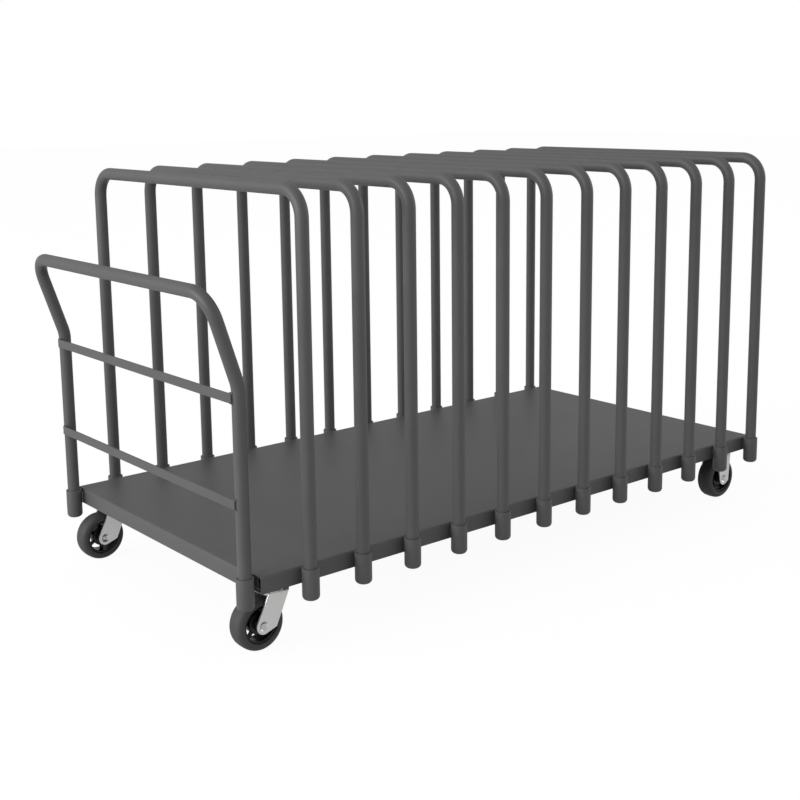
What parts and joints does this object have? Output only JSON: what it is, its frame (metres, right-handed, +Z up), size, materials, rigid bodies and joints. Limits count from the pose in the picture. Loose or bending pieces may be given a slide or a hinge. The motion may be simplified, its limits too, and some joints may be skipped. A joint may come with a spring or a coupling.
{
  "type": "sheet goods cart",
  "caption": "Steel platform cart with a row of lift-out hoop dividers in side sleeves, a bent push handle and swivel and rigid casters, for moving sheet goods on edge.",
  "frame": {"origin": "on the floor under the middle of the cart's bounding box", "axes": "+X along the deck from the push handle to the far end, +Y across to the left when pushing, +Z up"},
  "size_m": [1.9354, 0.9948, 1.0714],
  "materials": {
    "powder_coat": "dark grey powder coat, satin",
    "zinc_plate": "bright zinc plate, satin",
    "tyre_rubber": "dark grey moulded rubber, matte",
    "hub_plastic": "black, glossy"
  },
  "bodies": {
    "base": {"deck": "powder_coat", "handle_sleeve_left": "powder_coat", "handle_sleeve_right": "powder_coat", "sleeve_left_01": "powder_coat", "sleeve_left_02": "powder_coat", "sleeve_left_03": "powder_coat", "sleeve_left_04": "powder_coat", "sleeve_left_05": "powder_coat", "sleeve_left_06": "powder_coat", "sleeve_left_07": "powder_coat", "sleeve_left_08": "powder_coat", "sleeve_left_09": "powder_coat", "sleeve_left_10": "powder_coat", "sleeve_left_11": "powder_coat", "sleeve_left_12": "powder_coat", "sleeve_right_01": "powder_coat", "sleeve_right_02": "powder_coat", "sleeve_right_03": "powder_coat", "sleeve_right_04": "powder_coat", "sleeve_right_05": "powder_coat", "sleeve_right_06": "powder_coat", "sleeve_right_07": "powder_coat", "sleeve_right_08": "powder_coat", "sleeve_right_09": "powder_coat", "sleeve_right_10": "powder_coat", "sleeve_right_11": "powder_coat", "sleeve_right_12": "powder_coat", "swivel_plate_left": "zinc_plate", "swivel_plate_right": "zinc_plate", "rigid_frame_left": "zinc_plate", "rigid_frame_right": "zinc_plate", "rigid_axle_left": "zinc_plate", "rigid_axle_right": "zinc_plate"},
    "divider_01_hoop": {"divider_01": "powder_coat"},
    "divider_02_hoop": {"divider_02": "powder_coat"},
    "divider_03_hoop": {"divider_03": "powder_coat"},
    "divider_04_hoop": {"divider_04": "powder_coat"},
    "divider_05_hoop": {"divider_05": "powder_coat"},
    "divider_06_hoop": {"divider_06": "powder_coat"},
    "divider_07_hoop": {"divider_07": "powder_coat"},
    "divider_08_hoop": {"divider_08": "powder_coat"},
    "divider_09_hoop": {"divider_09": "powder_coat"},
    "divider_10_hoop": {"divider_10": "powder_coat"},
    "divider_11_hoop": {"divider_11": "powder_coat"},
    "divider_12_hoop": {"divider_12": "powder_coat"},
    "handle": {"handle_tube": "powder_coat", "handle_bar_upper": "powder_coat", "handle_bar_lower": "powder_coat"},
    "swivel_left": {"swivel_yoke_left": "zinc_plate", "swivel_axle_left": "zinc_plate"},
    "swivel_wheel_left": {"swivel_hub_left": "hub_plastic", "swivel_tyre_left": "tyre_rubber"},
    "rigid_wheel_left": {"rigid_hub_left": "hub_plastic", "rigid_tyre_left": "tyre_rubber"},
    "swivel_right": {"swivel_yoke_right": "zinc_plate", "swivel_axle_right": "zinc_plate"},
    "swivel_wheel_right": {"swivel_hub_right": "hub_plastic", "swivel_tyre_right": "tyre_rubber"},
    "rigid_wheel_right": {"rigid_hub_right": "hub_plastic", "rigid_tyre_right": "tyre_rubber"}
  },
  "joints": [
    {"name": "divider_01_lift", "type": "slide", "parent": "base", "child": "divider_01_hoop", "axis": [0, 0, 1], "range_m": [0, 0.1]},
    {"name": "divider_02_lift", "type": "slide", "parent": "base", "child": "divider_02_hoop", "axis": [0, 0, 1], "range_m": [0, 0.1]},
    {"name": "divider_03_lift", "type": "slide", "parent": "base", "child": "divider_03_hoop", "axis": [0, 0, 1], "range_m": [0, 0.1]},
    {"name": "divider_04_lift", "type": "slide", "parent": "base", "child": "divider_04_hoop", "axis": [0, 0, 1], "range_m": [0, 0.1]},
    {"name": "divider_05_lift", "type": "slide", "parent": "base", "child": "divider_05_hoop", "axis": [0, 0, 1], "range_m": [0, 0.1]},
    {"name": "divider_06_lift", "type": "slide", "parent": "base", "child": "divider_06_hoop", "axis": [0, 0, 1], "range_m": [0, 0.1]},
    {"name": "divider_07_lift", "type": "slide", "parent": "base", "child": "divider_07_hoop", "axis": [0, 0, 1], "range_m": [0, 0.1]},
    {"name": "divider_08_lift", "type": "slide", "parent": "base", "child": "divider_08_hoop", "axis": [0, 0, 1], "range_m": [0, 0.1]},
    {"name": "divider_09_lift", "type": "slide", "parent": "base", "child": "divider_09_hoop", "axis": [0, 0, 1], "range_m": [0, 0.1]},
    {"name": "divider_10_lift", "type": "slide", "parent": "base", "child": "divider_10_hoop", "axis": [0, 0, 1], "range_m": [0, 0.1]},
    {"name": "divider_11_lift", "type": "slide", "parent": "base", "child": "divider_11_hoop", "axis": [0, 0, 1], "range_m": [0, 0.1]},
    {"name": "divider_12_lift", "type": "slide", "parent": "base", "child": "divider_12_hoop", "axis": [0, 0, 1], "range_m": [0, 0.1]},
    {"name": "handle_lift", "type": "slide", "parent": "base", "child": "handle", "axis": [0, 0, 1], "range_m": [0, 0.1]},
    {"name": "swivel_left_turn", "type": "hinge", "parent": "base", "child": "swivel_left", "pos_m": [-0.79305, 0.3932, 0.15], "axis": [0, 0, 1], "continuous": true},
    {"name": "swivel_wheel_left_roll", "type": "hinge", "parent": "swivel_left", "child": "swivel_wheel_left", "pos_m": [-0.83105, 0.3932, 0.0635], "axis": [0, 1, 0], "continuous": true},
    {"name": "rigid_wheel_left_roll", "type": "hinge", "parent": "base", "child": "rigid_wheel_left", "pos_m": [0.88375, 0.3932, 0.0635], "axis": [0, 1, 0], "continuous": true},
    {"name": "swivel_right_turn", "type": "hinge", "parent": "base", "child": "swivel_right", "pos_m": [-0.79305, -0.3932, 0.15], "axis": [0, 0, 1], "continuous": true},
    {"name": "swivel_wheel_right_roll", "type": "hinge", "parent": "swivel_right", "child": "swivel_wheel_right", "pos_m": [-0.83105, -0.3932, 0.0635], "axis": [0, 1, 0], "continuous": true},
    {"name": "rigid_wheel_right_roll", "type": "hinge", "parent": "base", "child": "rigid_wheel_right", "pos_m": [0.88375, -0.3932, 0.0635], "axis": [0, 1, 0], "continuous": true}
  ]
}
